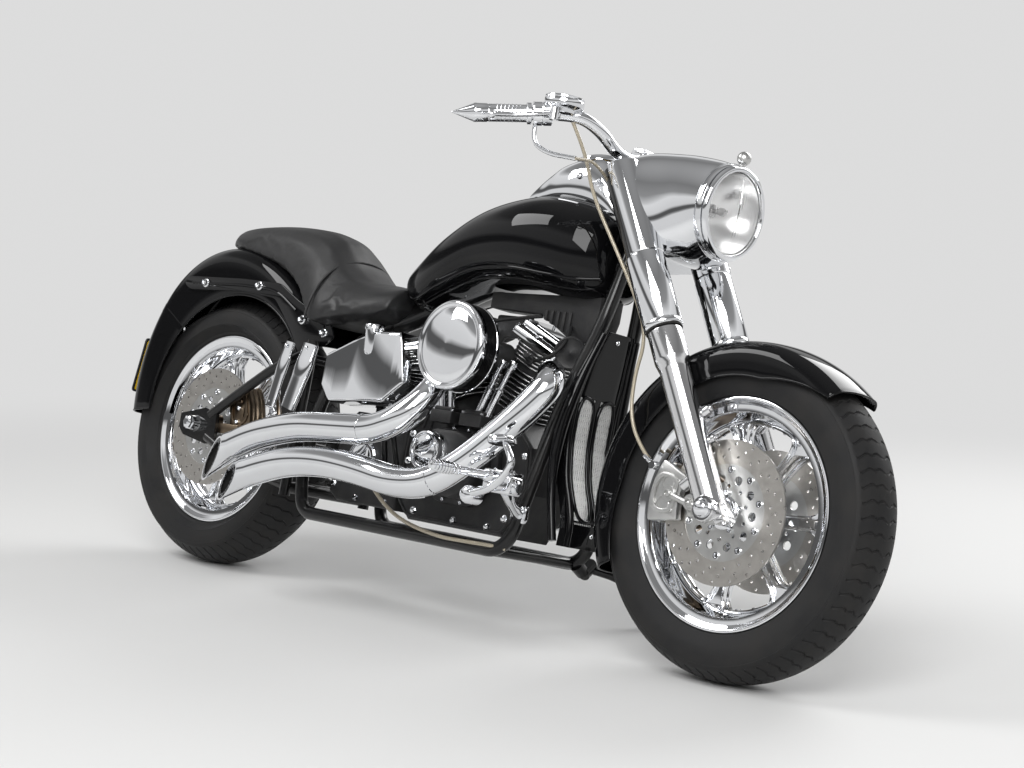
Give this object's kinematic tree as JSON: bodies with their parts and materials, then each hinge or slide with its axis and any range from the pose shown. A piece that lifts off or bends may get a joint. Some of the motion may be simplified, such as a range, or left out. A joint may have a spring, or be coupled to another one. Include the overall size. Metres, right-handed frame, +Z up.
{
  "type": "chopper motorcycle",
  "caption": "Low custom cruiser motorcycle with a bright lamp housing, swept exhausts and disc brakes, leaning on its side stand.",
  "frame": {"origin": "on the floor, under the middle of the box around the parked machine", "axes": "+X ahead, +Y to the rider's left, +Z up; the machine leans 13 degrees to its left"},
  "size_m": [2.3116, 0.9668, 1.1624],
  "materials": {
    "tyre_rubber": "matt side walls, treaded crown",
    "polished_alloy": "polished",
    "chrome": "mirror bright",
    "disc_steel": "ground",
    "black_paint": "deep gloss",
    "frame_black": "satin gloss",
    "bronze": "satin anodised",
    "lamp_glass": "clear with flutes",
    "red_lens": "clear red",
    "barrel_black": "black enamel with bright fin edges",
    "case_black": "wrinkle black",
    "seat_leather": "soft grain",
    "plate_yellow": "blank reflective",
    "belt_rubber": "matt",
    "braid": "clear coated braid"
  },
  "bodies": {
    "machine": {"rear_fender": "black_paint", "frame": "frame_black", "swingarm": "frame_black", "rear_axle": "chrome", "fender_struts": "black_paint", "tank": "black_paint", "tank_dash": "chrome", "seat": "seat_leather", "crankcase": "case_black", "cylinders": "barrel_black", "rocker_boxes": "chrome", "oil_tank": "chrome", "cam_cover": "chrome", "pushrod_tubes": "chrome", "air_cleaner": "chrome", "intake": "case_black", "primary_cover": "chrome", "gearbox": "case_black", "exhaust_front": "chrome", "exhaust_rear": "chrome", "chin_spoiler": "black_paint", "foot_controls_right": "chrome", "foot_controls_left": "chrome", "rear_caliper": "bronze", "tail_lamp": "red_lens", "number_plate": "plate_yellow", "side_covers": "chrome", "drive_belt": "belt_rubber", "stand_bracket": "frame_black", "oil_line": "braid"},
    "fork": {"fork_sliders": "polished_alloy", "fork_covers": "chrome", "fork_trees": "chrome", "front_axle": "chrome", "front_calipers": "chrome", "nacelle": "chrome", "lamp_ring": "chrome", "lamp_lens": "lamp_glass", "handlebar": "chrome", "grips": "chrome", "hand_controls": "chrome", "front_fender": "black_paint", "brake_hose": "braid"},
    "front_wheel": {"front_tyre": "tyre_rubber", "front_rim": "polished_alloy", "front_discs": "disc_steel"},
    "rear_wheel": {"rear_tyre": "tyre_rubber", "rear_rim": "polished_alloy", "rear_disc": "disc_steel", "rear_pulley": "disc_steel"},
    "stand": {"side_stand": "frame_black"}
  },
  "joints": [
    {"name": "steering", "type": "hinge", "parent": "machine", "child": "fork", "pos_m": [0.47245, 0.01832, 0.81487], "axis": [-0.5075, 0.1938, 0.8395], "range_deg": [-30, 30]},
    {"name": "front_wheel_spin", "type": "hinge", "parent": "fork", "child": "front_wheel", "pos_m": [0.82615, -0.09459, 0.3258], "axis": [0, 0.9744, -0.225], "continuous": true},
    {"name": "rear_wheel_spin", "type": "hinge", "parent": "machine", "child": "rear_wheel", "pos_m": [-0.79385, -0.09459, 0.3258], "axis": [0, 0.9744, -0.225], "continuous": true},
    {"name": "side_stand_fold", "type": "hinge", "parent": "machine", "child": "stand", "pos_m": [0.29215, 0.02261, 0.12221], "axis": [-0.1036, 0.8919, 0.4402], "range_deg": [0, 134.31]}
  ]
}
